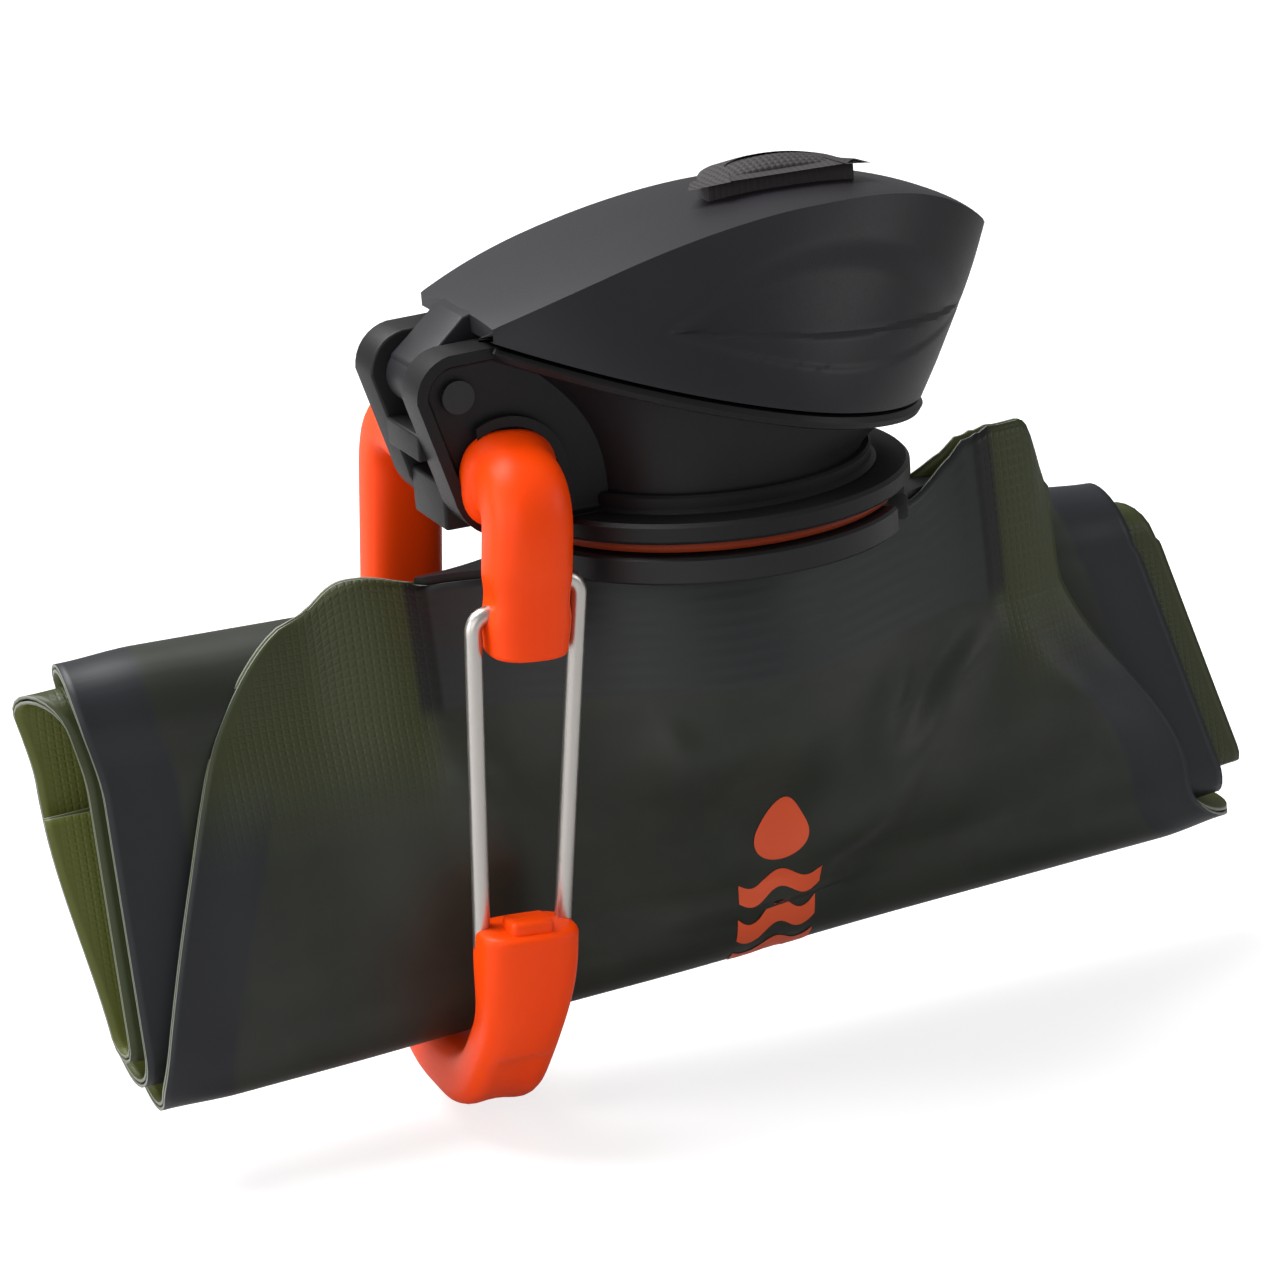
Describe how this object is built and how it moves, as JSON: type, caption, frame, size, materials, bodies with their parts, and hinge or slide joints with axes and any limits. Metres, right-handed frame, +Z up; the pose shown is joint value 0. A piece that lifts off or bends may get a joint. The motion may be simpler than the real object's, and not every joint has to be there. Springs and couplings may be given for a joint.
{
  "type": "folding water bottle",
  "caption": "Rolled film pouch bottle with a screw cap, flip-top lid and mouthpiece, held rolled by a carabiner that hangs in the cap's eye.",
  "frame": {"origin": "on the neck's axis, in the plane of the cap flange's upper face", "axes": "+Z up along the neck's axis, +X along the roll towards the lid's nose, -Y towards the carabiner's gate"},
  "size_m": [0.1389, 0.0525, 0.1036],
  "materials": {
    "film": "translucent dark olive laminate film",
    "fitment": "moulded dark grey",
    "seal": "moulded orange silicone",
    "shell": "fine textured charcoal",
    "pin": "moulded dark grey",
    "silicone": "moulded grey silicone",
    "tab": "dotted soft grip",
    "orange": "satin orange",
    "wire": "drawn stainless wire"
  },
  "bodies": {
    "bottle": {"pouch_front_panel": "film", "pouch_back_panel": "film", "pouch_bottom_gusset": "film", "spout_fitment": "fitment"},
    "cap": {"cap_base": "shell", "neck_seal_ring": "seal", "hinge_pin": "pin", "mouthpiece": "silicone"},
    "lid": {"lid_shell": "shell", "lid_plug": "silicone", "thumb_tab": "tab"},
    "carabiner": {"carabiner_body": "orange"},
    "gate": {"gate_wire": "wire"}
  },
  "joints": [
    {"name": "cap_turn", "type": "hinge", "parent": "bottle", "child": "cap", "pos_m": [0, 0, 0], "axis": [0, 0, 1], "range_deg": [0, 2]},
    {"name": "lid_hinge", "type": "hinge", "parent": "cap", "child": "lid", "pos_m": [-0.0312, 0, 0.015], "axis": [0, -1, 0], "range_deg": [0, 130]},
    {"name": "carabiner_swing", "type": "hinge", "parent": "cap", "child": "carabiner", "pos_m": [-0.0265, 0, 0.0054], "axis": [0, 1, 0], "range_deg": [-6, 2]},
    {"name": "gate_open", "type": "hinge", "parent": "carabiner", "child": "gate", "pos_m": [-0.0275, -0.0148, -0.00606], "axis": [0.9962, 0, -0.0872], "range_deg": [0, 8], "stiffness_Nm_per_rad": 0.02}
  ]
}
